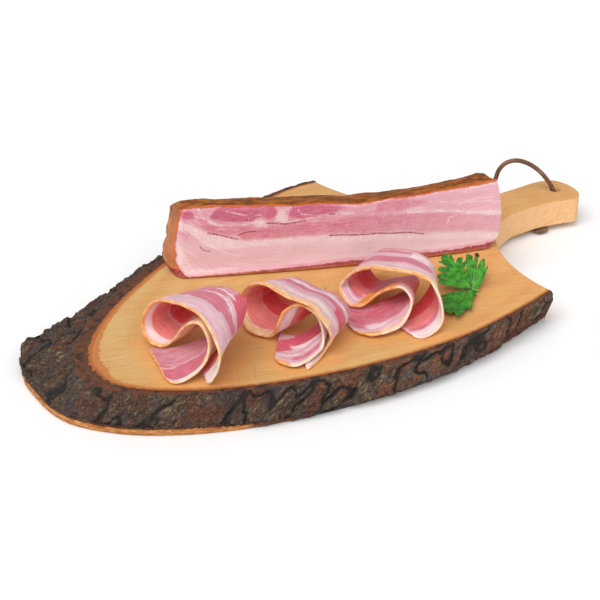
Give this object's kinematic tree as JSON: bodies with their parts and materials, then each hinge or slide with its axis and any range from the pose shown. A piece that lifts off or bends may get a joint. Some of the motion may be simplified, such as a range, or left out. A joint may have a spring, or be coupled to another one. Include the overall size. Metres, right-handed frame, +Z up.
{
  "type": "bacon rashers on a serving board",
  "caption": "Live-edge wooden serving board with bark, sawn handle and leather thong, set with a chunk of smoked bacon, curled rashers and a parsley sprig.",
  "frame": {"origin": "centre of the board's outline, on the plane that the board stands on", "axes": "+X towards the handle's end, +Y to the side that the bacon chunk's left end lies on, +Z up"},
  "size_m": [0.3763, 0.21, 0.0661],
  "materials": {
    "wood": "pale sawn wood, sanded and lightly oiled, with dark furrowed bark left on its edge",
    "bacon": "moist cured meat in pink and white streaks under a golden brown smoked rind",
    "parsley": "fresh green leaf, softly glossy",
    "leather": "brown leather lace, matt"
  },
  "bodies": {
    "root": {"board": "wood", "bacon_chunk": "bacon", "rasher_left": "bacon", "rasher_middle": "bacon", "rasher_right": "bacon", "parsley": "parsley", "thong": "leather", "thong_knot": "leather"}
  },
  "joints": []
}
